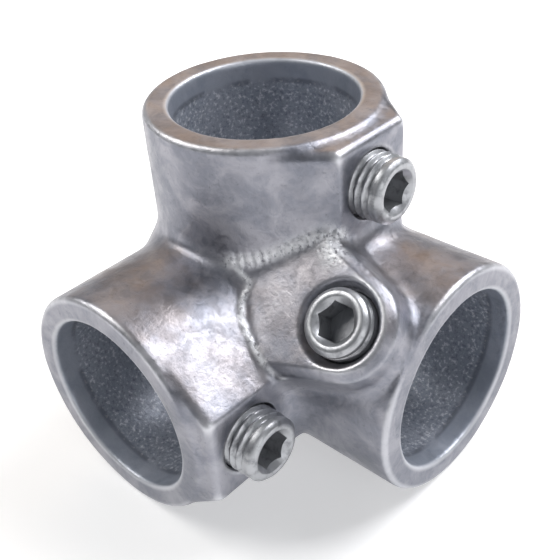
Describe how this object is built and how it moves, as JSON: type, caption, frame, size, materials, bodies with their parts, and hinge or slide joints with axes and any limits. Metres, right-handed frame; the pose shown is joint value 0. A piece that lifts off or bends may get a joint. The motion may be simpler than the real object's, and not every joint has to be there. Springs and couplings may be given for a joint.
{
  "type": "side outlet elbow tube clamp",
  "caption": "Cast corner fitting whose sockets take round tubes at right angles in all directions, each held by a hexagon-socket set screw.",
  "frame": {"origin": "the point where the axes of the three tube sockets cross", "axes": "+Z out of the upright socket, -Y out of the left socket, +X out of the right socket; the flat screw bosses face +X"},
  "size_m": [0.0839, 0.0839, 0.0839],
  "materials": {
    "galvanised_casting": "malleable iron with a mottled grey hot-dip zinc coat, rough in places",
    "set_screw_steel": "bright zinc-plated steel"
  },
  "bodies": {
    "fitting": {"casting": "galvanised_casting"},
    "upright_screw": {"upright_set_screw": "set_screw_steel"},
    "left_screw": {"left_set_screw": "set_screw_steel"},
    "right_screw": {"right_set_screw": "set_screw_steel"}
  },
  "joints": [
    {"name": "upright_screw_travel", "type": "slide", "parent": "fitting", "child": "upright_screw", "axis": [-1, 0, 0], "range_m": [-0.004, 0.0034]},
    {"name": "left_screw_travel", "type": "slide", "parent": "fitting", "child": "left_screw", "axis": [-1, 0, 0], "range_m": [-0.004, 0.0034]},
    {"name": "right_screw_travel", "type": "slide", "parent": "fitting", "child": "right_screw", "axis": [0, 0.7071, -0.7071], "range_m": [-0.007, 0.0026]}
  ]
}
